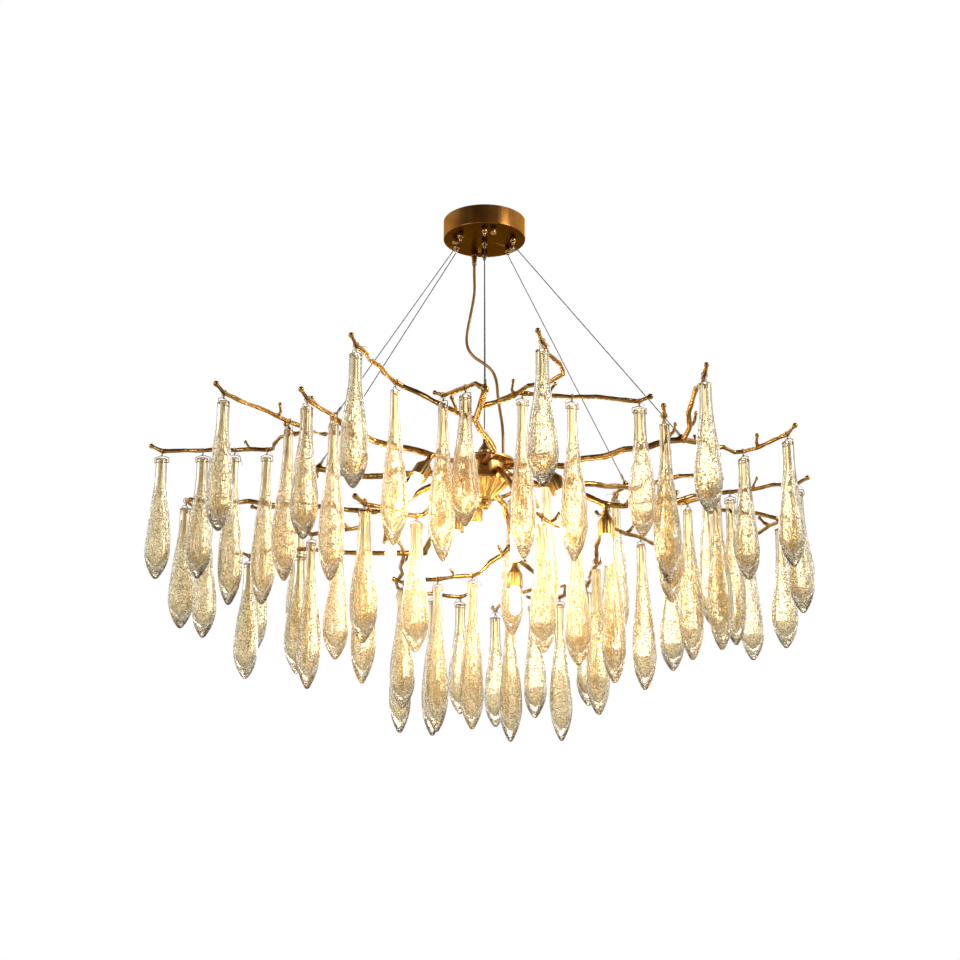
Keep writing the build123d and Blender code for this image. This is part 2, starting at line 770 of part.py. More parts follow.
lamp_planes = []
for name in lamp_arms:
    point, direction = lamp_place(name)
    lamp_planes.append(Plane(point + direction * lamp_boss_length, z_dir=direction))
for piece, name in ((lamp_cup, "lamp_cups"), (lamp_socket, "lamp_sockets"), (lamp_bulb, "lamp_bulbs")):
    with BuildPart() as lamp_group:
        with Locations(*lamp_planes):
            add(piece.part)
    save(lamp_group, name)


def glass_drop(length, neck_diameter, belly_diameter):
    """Hollow drop with its hook hole at the origin: straight neck, flared body, blunt pointed foot."""
    top = hook_depth
    neck_z = top - drop_neck_straight
    belly_z = top - length * belly_share
    foot_z = top - length
    neck = neck_diameter / 2
    belly = belly_diameter / 2
    bore = drop_bore_diameter / 2
    hollow = belly - drop_wall
    hollow_z = foot_z + drop_base_thickness
    outside = flank((neck, neck_z), (belly, belly_z), flank_steps)
    outside += bowl((belly, belly_z), (drop_tip_radius, foot_z), bowl_steps)[1:]
    inside = bowl((hollow, belly_z), (0, hollow_z), bowl_steps)[::-1]
    inside += flank((hollow, belly_z), (bore, neck_z), flank_steps)[1:]
    with BuildPart() as drop:
        with BuildSketch(Plane.XZ):
            with BuildLine():
                Polyline((bore, top), (neck, top), *outside, (0, foot_z), *inside, close=True)
            make_face()
        revolve(axis=Axis.Z)
        with Locations(Plane.YZ):
            Cylinder(hook_hole_diameter / 2, neck_diameter * 1.5, mode=Mode.SUBTRACT)
    return drop.part


def tie_loop(neck_diameter):
    """Wire that goes through the hook hole along X and up both sides of the neck to a twist above it."""
    side = neck_diameter / 2 + tie_side_room + wire_radius
    with BuildPart() as loop:
        for turn in (1, -1):
            with BuildLine() as half:
                Polyline((0, 0, 0), (turn * side, 0, 0), (turn * side, 0, tie_shoulder), (0, 0, tie_peak))
            with BuildSketch(Plane((0, 0, 0), z_dir=(turn, 0, 0))):
                RegularPolygon(wire_radius, wire_sides)
            sweep(path=half.line, transition=Transition.RIGHT)
        with BuildSketch(Plane.XY.offset(tie_peak - wire_diameter)):
            RegularPolygon(wire_radius * 1.8, wire_sides)
        extrude(amount=hook_rise - ring_radius - tie_peak + wire_diameter, taper=tie_twist_taper)
    return loop.part


def tie_ring():
    """Closed wire ring round a twig."""
    with BuildPart() as ring:
        with BuildSketch(Plane.XZ):
            with Locations((ring_radius, 0)):
                RegularPolygon(wire_radius, wire_sides)
        revolve(axis=Axis.Z)
    return ring.part


wire_radius = wire_diameter / 2
ring_radius = hook_radius + slip_room + wire_radius
drop_kinds = {
    SHORT: glass_drop(short_length, short_neck_diameter, short_belly_diameter),
    LONG: glass_drop(long_length, long_neck_diameter, long_belly_diameter),
}
loop_kinds = {SHORT: tie_loop(short_neck_diameter), LONG: tie_loop(long_neck_diameter)}
ring = tie_ring()

# Sprays of drops, each hanging on one level hook line
for name in sprays:
    hook_points, line = spray_hooks(name)
    with BuildPart() as spray_drops:
        for point, hook in zip(hook_points, sprays[name][3]):
            with Locations(Plane(point, x_dir=line, z_dir=(0, 0, 1))):
                add(drop_kinds[hook[2]])
    save(spray_drops, f"drops_{name}")

# Wire ties that hold the drops: a loop through the glass and a ring round the twig above it
ties = []
for point, line, heading, size in tie_places:
    with BuildPart() as tie:
        with Locations(Plane(point, x_dir=line, z_dir=(0, 0, 1))):
            add(loop_kinds[size])
        with Locations(Plane(point + Vector(0, 0, hook_rise), z_dir=heading)):
            add(ring)
    ties.append(tie.part)
with BuildPart() as drop_ties:
    add(ties)
save(drop_ties, "drop_ties")
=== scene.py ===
import json
import math
import random

import bmesh
import bpy
import numpy as np
from mathutils import Matrix, Vector, noise


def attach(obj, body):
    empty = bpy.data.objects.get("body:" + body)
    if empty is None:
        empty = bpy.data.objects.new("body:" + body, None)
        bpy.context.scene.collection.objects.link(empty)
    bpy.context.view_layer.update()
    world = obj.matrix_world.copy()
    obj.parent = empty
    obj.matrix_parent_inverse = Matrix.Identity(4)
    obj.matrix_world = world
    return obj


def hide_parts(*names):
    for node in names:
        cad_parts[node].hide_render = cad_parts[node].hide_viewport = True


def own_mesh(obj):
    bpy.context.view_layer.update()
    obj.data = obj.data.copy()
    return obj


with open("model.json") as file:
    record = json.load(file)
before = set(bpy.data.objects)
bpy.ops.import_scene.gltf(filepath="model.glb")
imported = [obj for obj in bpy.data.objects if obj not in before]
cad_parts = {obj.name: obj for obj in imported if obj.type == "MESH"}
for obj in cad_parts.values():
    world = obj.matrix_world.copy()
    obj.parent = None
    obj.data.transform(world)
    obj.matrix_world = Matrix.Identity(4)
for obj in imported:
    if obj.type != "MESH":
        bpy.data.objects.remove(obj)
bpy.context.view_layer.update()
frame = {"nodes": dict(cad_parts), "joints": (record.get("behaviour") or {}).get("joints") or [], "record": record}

nodes = frame["nodes"]
joints = {joint["child"]: joint for joint in frame["joints"]}
body_of_node = {n: b for b, ns in frame["record"]["behaviour"]["bodies"].items() for n in ns}
slot_of_node = {s["node"]: s["material_slot"] for s in frame["record"]["subparts"]}

# All lengths are in metres
TURN = 2 * math.pi

# Power cord: its route runs from the gland's tip to the hub plate
CORD_DIAMETER = 0.005
CORD_SIDES = 16
CORD_RESOLUTION = 16
CORD_ROUTE = [
    (-0.016, 0.047, -0.052),
    (-0.016, 0.047, -0.072),
    (-0.015, 0.042, -0.100),
    (-0.021, 0.033, -0.140),
    (-0.028, 0.027, -0.178),
    (-0.027, 0.023, -0.202),
    (-0.017, 0.020, -0.218),
    (0.000, 0.017, -0.230),
    (0.013, 0.015, -0.243),
    (0.019, 0.012, -0.262),
    (0.020, 0.009, -0.284),
    (0.023, 0.006, -0.308),
    (0.027, 0.000, -0.335),
    (0.028, -0.005, -0.362),
    (0.028, -0.005, -0.3917),
]

# Suspension cables
CABLE_DIAMETER = 0.0016
CABLE_STEP = 0.0012
CABLE_SIDES = 12
CABLE_STRANDS = 6
STRAND_DEPTH = 0.07
STRAND_PITCH = 0.012
END_SLACK = 1e-5

# Edges, with their angles in degrees
SHARP_ANGLE = 34.0
TIE_SHARP_ANGLE = 60.0
GLASS_SHARP_ANGLE = 50.0
BEVEL_ANGLE = 40.0
BEVEL_WIDTH = 0.0004
WELD_DISTANCE = 1e-6

# Cast arms
VOXEL = 0.00125
LUMP_SCALE = 62.0
BARK_SCALE = 210.0
ARM_SWELL = 0.00012
KNOT_HEIGHT = 0.00085
LUMP_HEIGHT = 0.0005
BARK_HEIGHT = 0.00028

# Glass drops, with the hook at height 0; a share is one of the drop's length
DROP_KINDS = (("short", 0.185, 0.009, 0.0205), ("long", 0.225, 0.0072, 0.0195))  # length, neck and belly radius
LONG_LENGTH = 0.205  # longer drops are of the long kind
HOOK_DEPTH = 0.005  # from the rim to the hook
HOLE_RADIUS = 0.0011
DRILL_LENGTH = 0.05
DRILL_SIDES = 14
SEGMENTS = 36
NECK_LENGTH = 0.022
NECK_STEPS = 9
BELLY_SHARE = 0.755  # from the rim to the widest place
FOOT_SHARE = 0.245
BORE = 0.0035
BELLY_WALL = 0.0055
FOOT_WALL = 0.018
BOWL_POWER = 1.8
RIM = ((0.0005, 0.0), (0.0001, 0.0003), (0.0, 0.0008))  # inset and depth
BORE_RIM = ((0.0004, 0.0), (0.0, 0.0006))  # outset and depth
FOOT = ((0.0030, 0.0008), (0.0022, 0.0003), (0.0010, 0.0))  # radius and height above the lowest point
HOLLOW_FOOT = 0.0004
SKIN = 0.0012  # depth to which the wall counts as its outside

# Unevenness of a drop
UNEVEN_FROM = (0.16, 0.3)  # start and width of the change from the true neck
RIPPLES = ((0.018, 3, 7), (0.012, 5, -11), (0.02, 0, 9))  # height, waves around, waves along
RIPPLE_PHASE = 6
SHRINK = 0.03
SHRINK_MORE = 0.04
BEND = 0.0011

# Seed bubbles in the wall of a drop
SEEDED_FROM = (0.18, 0.2)  # start and width of the change from the clear neck
SEED_COUNT = 26
SEED_CROWDING = 0.6
SEED_TOP = 0.22
SEED_RANGE = 0.66
SEED_SIZE = (0.0004, 0.0010)
SEED_STRETCH = (1.0, 1.9)
SEED_NECK_RADIUS = 0.0045
SEED_BELLY_RADIUS = 0.86  # of the belly's radius
SEED_FOOT_RADIUS = 0.25  # least, of the seeds' radius at the belly
SEED_FOOT_POWER = 1.6

# Light that the drops hold
GLOW_REACH = 0.13
GLOW_FULL = 2.2

# Wire ends of the ties, measured from the hook
TAIL_RADIUS = 0.0003
TAIL_SIDES = 6
TWIST_POINTS = 22
TWIST_STEP = 0.95
TWIST_RADIUS = 0.0011
TWIST_FOOT = 0.0095
TWIST_RISE = 0.0045
TAIL_COUNTS = (1, 1, 2)
TAIL_START = 0.0125
TAIL_POINTS = 9
TAIL_REACH = (0.006, 0.017)
TAIL_FALL = (-0.006, 0.016)
TAIL_ARCH = 0.004

# Studio
LIGHT_TARGET = (0, 0, -0.5)
BULB_LIGHT_DROP = 0.014
FLOOR_REACH = 4
FLOOR_HEIGHT = -2.2


# Materials
WHITE = (1, 1, 1)
NOISE_RANGE = (0.3, 0.7)  # where most of a noise texture's values lie


def new_material(name):
    """A fresh node material with its tree, Principled shader and object coordinates."""
    material = bpy.data.materials.new(name)
    material.use_nodes = True
    tree = material.node_tree
    coords = tree.nodes.new("ShaderNodeTexCoord")
    return material, tree, tree.nodes["Principled BSDF"], coords.outputs["Object"]


def noise_node(tree, vector, scale, detail, roughness=0.55):
    """Noise texture read at the given coordinates."""
    node = tree.nodes.new("ShaderNodeTexNoise")
    node.inputs["Scale"].default_value = scale
    node.inputs["Detail"].default_value = detail
    node.inputs["Roughness"].default_value = roughness
    tree.links.new(vector, node.inputs["Vector"])
    return node.outputs["Fac"]


def ramp(tree, fac, stops):
    """Colour ramp with (position, colour) stops."""
    node = tree.nodes.new("ShaderNodeValToRGB")
    elements = node.color_ramp.elements
    while len(elements) < len(stops):
        elements.new(0.5)
    for element, (position, colour) in zip(elements, stops):
        element.position = position
        element.color = (*colour, 1)
    tree.links.new(fac, node.inputs["Fac"])
    return node.outputs["Color"]


def span(tree, fac, low, high, start=0.0, end=1.0):
    """Map a start..end value to a low..high one."""
    node = tree.nodes.new("ShaderNodeMapRange")
    node.inputs["From Min"].default_value = start
    node.inputs["From Max"].default_value = end
    node.inputs["To Min"].default_value = low
    node.inputs["To Max"].default_value = high
    tree.links.new(fac, node.inputs["Value"])
    return node.outputs["Result"]


def stretch(tree, vector, scale):
    """Coordinates scaled apart per axis."""
    node = tree.nodes.new("ShaderNodeMapping")
    node.inputs["Scale"].default_value = scale
    tree.links.new(vector, node.inputs["Vector"])
    return node.outputs["Vector"]


def joined(tree, operation, one, other):
    """Two values joined by a math operation."""
    node = tree.nodes.new("ShaderNodeMath")
    node.operation = operation
    tree.links.new(one, node.inputs[0])
    tree.links.new(other, node.inputs[1])
    return node.outputs[0]


def tinted(tree, colour, tint):
    """Product of two colours."""
    node = tree.nodes.new("ShaderNodeMix")
    node.data_type = "RGBA"
    node.blend_type = "MULTIPLY"
    node.inputs["Factor"].default_value = 1.0
    tree.links.new(colour, node.inputs["A"])
    tree.links.new(tint, node.inputs["B"])
    return node.outputs["Result"]


def bump(tree, height, strength, distance, normal):
    """Fine relief on a normal input."""
    node = tree.nodes.new("ShaderNodeBump")
    node.inputs["Strength"].default_value = strength
    node.inputs["Distance"].default_value = distance
    tree.links.new(height, node.inputs["Height"])
    tree.links.new(node.outputs["Normal"], normal)
    return node


def brass(name, dark, mid, bright, scale, rough, streak=None):
    """Brass with cloudy tone, varying polish and, where asked, brushed streaks."""
    material, tree, shader, vector = new_material(name)
    tone = noise_node(tree, vector, scale, detail=5.0, roughness=0.6)
    colour = ramp(tree, tone, [(0.28, dark), (0.5, mid), (0.74, bright)])
    tree.links.new(colour, shader.inputs["Base Color"])
    shader.inputs["Metallic"].default_value = 1.0
    if streak:
        grain = noise_node(tree, stretch(tree, vector, streak), 1.0, detail=3.0, roughness=0.7)
        depth = 0.0002
        shader.inputs["Anisotropic"].default_value = 0.6
    else:
        grain = noise_node(tree, vector, scale * 9, detail=4.0, roughness=0.6)
        depth = 0.0004
    tree.links.new(span(tree, grain, *rough, *NOISE_RANGE), shader.inputs["Roughness"])
    bump(tree, grain, 0.15, depth, shader.inputs["Normal"])
    return material


def plain(name, low, high, scale, rough, metallic=0.0, coat=0.0):
    """Painted, moulded or plated finish with slight mottling."""
    material, tree, shader, vector = new_material(name)
    tone = noise_node(tree, vector, scale, detail=5.0, roughness=0.6)
    colour = ramp(tree, tone, list(zip(NOISE_RANGE, (low, high))))
    tree.links.new(colour, shader.inputs["Base Color"])
    tree.links.new(span(tree, tone, *rough, *NOISE_RANGE), shader.inputs["Roughness"])
    shader.inputs["Metallic"].default_value = metallic
    shader.inputs["Coat Weight"].default_value = coat
    bump(tree, noise_node(tree, vector, scale * 6, detail=3.0), 0.08, 0.0002, shader.inputs["Normal"])
    return material


def drop_glass(name):
    """Champagne glass with drawn-out streaks, seed bubbles below the neck and a glow near the bulbs."""
    material, tree, shader, vector = new_material(name)

    def attribute(title):
        node = tree.nodes.new("ShaderNodeAttribute")
        node.attribute_name = title
        return node.outputs["Fac"]

    def dots(scale, edge=0.33):
        cells = tree.nodes.new("ShaderNodeTexVoronoi")
        cells.inputs["Scale"].default_value = scale
        tree.links.new(vector, cells.inputs["Vector"])
        return span(tree, cells.outputs["Distance"], 1.0, 0.0, edge * 0.5, edge)

    # Seeds: large dots everywhere and small ones in patches, each painted with a dark ring and a bright centre that
    # stand in for the bubble's refraction
    patch = span(tree, noise_node(tree, vector, 30.0, detail=3.0), 0.4, 1.0, 0.36, 0.52)
    seeds = joined(tree, "MAXIMUM", dots(270.0), joined(tree, "MULTIPLY", dots(430.0), patch))
    held = joined(tree, "MULTIPLY", seeds, attribute("seeds"))
    # Painted refraction: a dark brown ring and a white centre in the seed's colour, with the glass made less clear
    # across them
    bubble_refraction_paint = ramp(tree, held, [(0.15, WHITE), (0.3, (0.30, 0.18, 0.06)), (0.6, (0.36, 0.23, 0.08)), (0.75, WHITE)])
    clear = ramp(tree, held, [(0.15, WHITE), (0.3, (0.12,) * 3), (0.6, (0.15,) * 3), (0.8, (0.55,) * 3)])
    tree.links.new(clear, shader.inputs["Transmission Weight"])
    tree.links.new(span(tree, held, 0.008, 0.06), shader.inputs["Roughness"])
    shader.inputs["IOR"].default_value = 1.47

    body = ramp(tree, attribute("belly"), [(0.0, (0.60, 0.52, 0.37)), (0.9, (0.95, 0.86, 0.66))])
    tree.links.new(tinted(tree, body, bubble_refraction_paint), shader.inputs["Base Color"])
    light = attribute("lamp_light")
    warm = ramp(tree, light, [(0.0, (1.0, 0.54, 0.17)), (1.0, (1.0, 0.70, 0.31))])
    tree.links.new(tinted(tree, warm, bubble_refraction_paint), shader.inputs["Emission Color"])
    tree.links.new(span(tree, light, 0.0, 0.17), shader.inputs["Emission Strength"])

    streaks = noise_node(tree, stretch(tree, vector, (260, 260, 5)), 1.0, detail=2.0)
    seeded = bump(tree, held, 1.0, 0.0008, shader.inputs["Normal"])
    bump(tree, streaks, 0.5, 0.0012, seeded.inputs["Normal"])
    return material


def lit_glass(name):
    """Frosted capsule of a lit bulb."""
    material, tree, shader, vector = new_material(name)
    frost = noise_node(tree, vector, 60.0, detail=3.0)
    colour = ramp(tree, frost, [(0.3, (1.0, 0.86, 0.62)), (0.7, (1.0, 0.92, 0.74))])
    tree.links.new(colour, shader.inputs["Base Color"])
    tree.links.new(colour, shader.inputs["Emission Color"])
    shader.inputs["Emission Strength"].default_value = 5.0
    tree.links.new(span(tree, frost, 0.3, 0.5), shader.inputs["Roughness"])
    return material


def canopy_brass_and_shade(name):
    """Brass drum brushed round its side, with painted shade darkening its downward-facing underside."""
    material = brass(name, (0.21, 0.085, 0.02), (0.37, 0.165, 0.04), (0.56, 0.28, 0.075), 18.0, (0.18, 0.32),
                     streak=(60, 60, 4))
    tree = material.node_tree
    shader = tree.nodes["Principled BSDF"]
    geometry = tree.nodes.new("ShaderNodeNewGeometry")
    split = tree.nodes.new("ShaderNodeSeparateXYZ")
    tree.links.new(geometry.outputs["Normal"], split.inputs["Vector"])
    # Painted shade: faces that point down are mixed towards a dark brown
    underside_shade = span(tree, split.outputs["Z"], 1.0, 0.0, -0.95, -0.6)
    side_colour = shader.inputs["Base Color"].links[0].from_socket
    mix = tree.nodes.new("ShaderNodeMix")
    mix.data_type = "RGBA"
    tree.links.new(underside_shade, mix.inputs["Factor"])
    tree.links.new(side_colour, mix.inputs["A"])
    mix.inputs["B"].default_value = (0.15, 0.058, 0.013, 1)
    tree.links.new(mix.outputs["Result"], shader.inputs["Base Color"])
    shader.inputs["Specular Tint"].default_value = (0.74, 0.56, 0.38, 1)
    return material


CAST = brass("cast_brass", (0.20, 0.09, 0.022), (0.60, 0.33, 0.085), (0.92, 0.60, 0.20), 46.0, (0.13, 0.30))
TURNED = brass("turned_brass", (0.34, 0.18, 0.055), (0.58, 0.35, 0.12), (0.72, 0.47, 0.18), 22.0, (0.22, 0.36),
               streak=(30, 30, 900))
SATIN = brass("satin_brass", (0.42, 0.23, 0.07), (0.66, 0.41, 0.13), (0.82, 0.55, 0.20), 40.0, (0.24, 0.38),
              streak=(500, 500, 40))
WIRE = brass("wire_brass", (0.34, 0.20, 0.08), (0.6, 0.4, 0.17), (0.8, 0.58, 0.28), 120.0, (0.2, 0.35))
STEEL = plain("cable_strands", (0.10, 0.085, 0.07), (0.24, 0.21, 0.18), 300.0, (0.3, 0.45), metallic=1.0)
PLATED = plain("zinc_plate", (0.45, 0.44, 0.42), (0.66, 0.65, 0.62), 60.0, (0.3, 0.5), metallic=1.0)
CERAMIC = plain("socket_glaze", (0.82, 0.80, 0.76), (0.92, 0.90, 0.86), 90.0, (0.2, 0.35), coat=0.4)
MOULDED = plain("terminal_moulding", (0.80, 0.79, 0.75), (0.88, 0.87, 0.84), 120.0, (0.45, 0.6))
JACKET = plain("cord_jacket", (0.42, 0.19, 0.05), (0.66, 0.36, 0.11), 24.0, (0.14, 0.26), metallic=0.35, coat=0.8)
GLASS = drop_glass("seeded_glass")
BULB = lit_glass("lit_capsule")
CANOPY = canopy_brass_and_shade("canopy_brass")

# Finish of each piece that keeps its node's shape
FINISH = {
    "canopy_shell": CANOPY,
    "ceiling_plate": PLATED,
    "cap_nuts": TURNED,
    "terminal_block": MOULDED,
    "cable_grippers": TURNED,
    "gripper_plungers": TURNED,
    "cord_gland": TURNED,
    "cable_ferrules": PLATED,
    "hub_rod": PLATED,
    "hub_finial": TURNED,
    "hub_plate": TURNED,
    "hub_drum": TURNED,
    "hub_cone": SATIN,
    "hub_ball": SATIN,
    "lamp_cups": SATIN,
    "lamp_sockets": CERAMIC,
    "lamp_bulbs": BULB,
    "drop_ties": WIRE,
}


# Mesh helpers
def added(name, data):
    """A new object in the scene."""
    thing = bpy.data.objects.new(name, data)
    bpy.context.scene.collection.objects.link(thing)
    return thing


def link(name, mesh, material, body, slot, *replaced):
    """Put a mesh into the scene as a piece of the object that rides on a body."""
    piece = added(name, mesh)
    mesh.materials.clear()
    mesh.materials.append(material)
    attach(piece, body)
    if replaced:
        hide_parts(*replaced)
    return piece


def settled(holder):
    """Final mesh of a helper object, which is then removed."""
    bpy.context.view_layer.update()
    mesh = bpy.data.meshes.new_from_object(holder.evaluated_get(bpy.context.evaluated_depsgraph_get()))
    bpy.data.objects.remove(holder)
    return mesh


def welded(node):
    """The node's mesh with its split vertices joined, as a bmesh."""
    bm = bmesh.new()
    bm.from_mesh(nodes[node].data)
    bmesh.ops.remove_doubles(bm, verts=bm.verts, dist=WELD_DISTANCE)
    return bm


def mesh_from(bm, name):
    """A mesh from a bmesh, which is then freed."""
    mesh = bpy.data.meshes.new(name)
    bm.to_mesh(mesh)
    bm.free()
    return mesh


def islands(node):
    """Corner points of each separate solid in a node."""
    bm = welded(node)
    bm.verts.index_update()
    seen = set()
    groups = []
    for first in bm.verts:
        if first.index in seen:
            continue
        seen.add(first.index)
        stack = [first]
        points = []
        while stack:
            vert = stack.pop()
            points.append(vert.co.copy())
            for edge in vert.link_edges:
                other = edge.other_vert(vert)
                if other.index not in seen:
                    seen.add(other.index)
                    stack.append(other)
        groups.append(np.array(points))
    bm.free()
    return groups


def crisp(node, angle=SHARP_ANGLE, bevel=0.0):
    """A rigid node's own shape with clean shading and, where asked, softened edges, in place of the node."""
    mesh = mesh_from(welded(node), node + "_skin")
    mesh.shade_smooth()
    mesh.set_sharp_from_angle(angle=math.radians(angle))
    piece = link(node + "_skin", mesh, FINISH[node], body_of_node[node], slot_of_node[node], node)
    if bevel:
        edge = piece.modifiers.new("edge", "BEVEL")
        edge.width = bevel
        edge.segments = 2
        edge.limit_method = "ANGLE"
        edge.angle_limit = math.radians(BEVEL_ANGLE)
        edge.harden_normals = True


def tube(points, radius, sides, lobes=0, depth=0.0, pitch=0.01):
    """Vertices and faces of a closed tube along points, with twisted lobes where asked."""
    points = [Vector(p) for p in points]
    count = len(points)
    verts = []
    faces = []
    travel = 0.0
    frame_x = None
    for i, point in enumerate(points):
        ahead = (points[min(i + 1, count - 1)] - points[max(i - 1, 0)]).normalized()
        if frame_x is None:
            frame_x = ahead.orthogonal().normalized()
        frame_x = (frame_x - ahead * frame_x.dot(ahead)).normalized()
        frame_y = ahead.cross(frame_x)
        if i:
            travel += (point - points[i - 1]).length
        for j in range(sides):
            angle = TURN * j / sides
            r = radius
            if lobes:
                r *= 1 - depth + depth * math.cos(lobes * angle + TURN * travel / pitch)
            verts.append(point + (frame_x * math.cos(angle) + frame_y * math.sin(angle)) * r)
    for i in range(count - 1):
        for j in range(sides):
            a = i * sides + j
            b = i * sides + (j + 1) % sides
            faces.append((a, b, b + sides, a + sides))
    faces.append(tuple(range(sides - 1, -1, -1)))
    faces.append(tuple(range((count - 1) * sides, count * sides)))
    return verts, faces


def mesh_of(name, parts):
    """One mesh from several (vertices, faces) parts, smoothly shaded."""
    verts = []
    faces = []
    for part_verts, part_faces in parts:
        base = len(verts)
        verts += [tuple(v) for v in part_verts]
        faces += [tuple(base + i for i in face) for face in part_faces]
    mesh = bpy.data.meshes.new(name)
    mesh.from_pydata(verts, [], faces)
    mesh.shade_smooth()
    return mesh


def arrays(mesh):
    """Vertices and faces of a mesh."""
    co = np.zeros(len(mesh.vertices) * 3)
    mesh.vertices.foreach_get("co", co)
    return co.reshape(-1, 3), [tuple(p.vertices) for p in mesh.polygons]


# Camera
camera_data = bpy.data.cameras.new("camera")
camera_data.lens = 63.75
camera_data.sensor_width = 36.0
camera = added("camera", camera_data)
camera.location = (-0.007, -2.430, -1.165)
camera.rotation_euler = (math.radians(107), 0, 0)
bpy.context.scene.camera = camera


# Power cord
def spline_points(route, resolution):
    """Points along the NURBS spline that has the route as its control points."""
    curve = bpy.data.curves.new("cord_line", "CURVE")
    curve.dimensions = "3D"
    spline = curve.splines.new("NURBS")
    spline.points.add(len(route) - 1)
    for point, place in zip(spline.points, route):
        point.co = (*place, 1)
    spline.order_u = 3
    spline.use_endpoint_u = True
    spline.resolution_u = resolution
    line = settled(added("cord_line", curve))
    return [v.co.copy() for v in line.vertices]


cord_points = spline_points(CORD_ROUTE, CORD_RESOLUTION)
cord_mesh = mesh_of("power_cord_jacket", [tube(cord_points, CORD_DIAMETER / 2, CORD_SIDES)])
cord = link("power_cord_jacket", cord_mesh, JACKET, "canopy", "cord_jacket", "power_cord")
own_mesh(cord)


# Suspension cables
def cable_ends(points):
    """Middle points of a straight cable's upper and lower end."""
    middle = points.mean(0)
    axis = np.linalg.svd(points - middle, full_matrices=False)[2][0]
    if axis[2] < 0:
        axis = -axis
    along = (points - middle) @ axis
    top = points[along > along.max() - END_SLACK].mean(0)
    low = points[along < along.min() + END_SLACK].mean(0)
    return Vector(top), Vector(low)


for order, solid in enumerate(sorted(islands("suspension_cables"), key=lambda p: p.mean(0)[0])):
    top, low = cable_ends(solid)
    steps = round((top - low).length / CABLE_STEP)
    path = [top.lerp(low, i / steps) for i in range(steps + 1)]
    strands = tube(path, CABLE_DIAMETER / 2, CABLE_SIDES, CABLE_STRANDS, STRAND_DEPTH, STRAND_PITCH)
    cable = link(f"cable_{order + 1}", mesh_of("cable", [strands]), STEEL, "canopy", "cable_steel",
                 "suspension_cables")
    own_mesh(cable)


# Rigid pieces of metal, ceramic and plastic, and the bulbs
for node in ("canopy_shell", "hub_plate", "hub_drum"):
    crisp(node, bevel=BEVEL_WIDTH)
for node in ("ceiling_plate", "cap_nuts", "terminal_block", "cable_grippers", "gripper_plungers", "cord_gland",
             "cable_ferrules", "hub_rod", "hub_finial", "hub_cone", "hub_ball", "lamp_cups", "lamp_sockets",
             "lamp_bulbs"):
    crisp(node)
crisp("drop_ties", angle=TIE_SHARP_ANGLE)


# Cast arms: the CAD wood, swollen and gnarled
def gnarled(node):
    """Twig with lumps, hollows and fine bark over the node's own wood."""
    holder = added(node + "_source", mesh_from(welded(node), node + "_cast"))
    remesh = holder.modifiers.new("grain", "REMESH")
    remesh.mode = "VOXEL"
    remesh.voxel_size = VOXEL
    smooth = holder.modifiers.new("soften", "SMOOTH")
    smooth.factor = 0.5
    smooth.iterations = 6
    wood = settled(holder)
    wood.name = node + "_cast"
    count = len(wood.vertices)
    place = np.zeros(count * 3)
    facing = np.zeros(count * 3)
    wood.vertices.foreach_get("co", place)
    wood.vertices.foreach_get("normal", facing)
    place = place.reshape(-1, 3)
    facing = facing.reshape(-1, 3)
    lift = np.empty(count)
    for i, p in enumerate(place):
        point = Vector(p)
        lump = noise.noise(point * LUMP_SCALE)
        bark = noise.noise(point * BARK_SCALE)
        lift[i] = ARM_SWELL + KNOT_HEIGHT * lump * abs(lump) + LUMP_HEIGHT * lump + BARK_HEIGHT * bark
    wood.vertices.foreach_set("co", (place + facing * lift[:, None]).ravel())
    wood.update()
    wood.shade_smooth()
    link(node + "_cast", wood, CAST, "fixture", "branch_brass", node)


for node in sorted(n for n in nodes if n.startswith("arm_")):
    gnarled(node)


# Glass drops
def flank(start, end, steps):
    """Points after the start on an eased line between two (radius, height) points."""
    found = []
    for i in range(1, steps + 1):
        share = i / steps
        ease = (1 - math.cos(math.pi * share)) / 2
        found.append((start[0] + (end[0] - start[0]) * ease, start[1] + (end[1] - start[1]) * share))
    return found


def bowl(rim, floor, steps):
    """Points after the rim on a rounded line down to the floor."""
    found = []
    for i in range(1, steps + 1):
        angle = math.pi / 2 * i / steps
        radius = floor[0] + (rim[0] - floor[0]) * math.cos(angle) ** BOWL_POWER
        found.append((radius, rim[1] + (floor[1] - rim[1]) * math.sin(angle)))
    return found


def profile(length, neck, belly):
    """Outer and inner outline of a drop as (radius, height) from the top down, with the hook at height 0."""
    top = HOOK_DEPTH
    neck_z = top - NECK_LENGTH
    belly_z = top - length * BELLY_SHARE
    foot_z = top - length
    hollow = belly - BELLY_WALL
    neck_heights = [top - NECK_LENGTH * k / NECK_STEPS for k in range(1, NECK_STEPS + 1)]
    foot = [(radius, foot_z + height) for radius, height in FOOT]

    outer = [(neck - inset, top - depth) for inset, depth in RIM]
    outer += [(neck, z) for z in neck_heights]
    outer += flank((neck, neck_z), (belly, belly_z), steps=18)
    outer += bowl((belly, belly_z), foot[0], steps=14)
    outer += foot[1:]
    inner = [(BORE + outset, top - depth) for outset, depth in BORE_RIM]
    inner += [(BORE, z) for z in neck_heights]
    inner += flank((BORE, neck_z), (hollow, belly_z), steps=16)
    inner += bowl((hollow, belly_z), (HOLLOW_FOOT, foot_z + FOOT_WALL), steps=10)
    return outer, inner


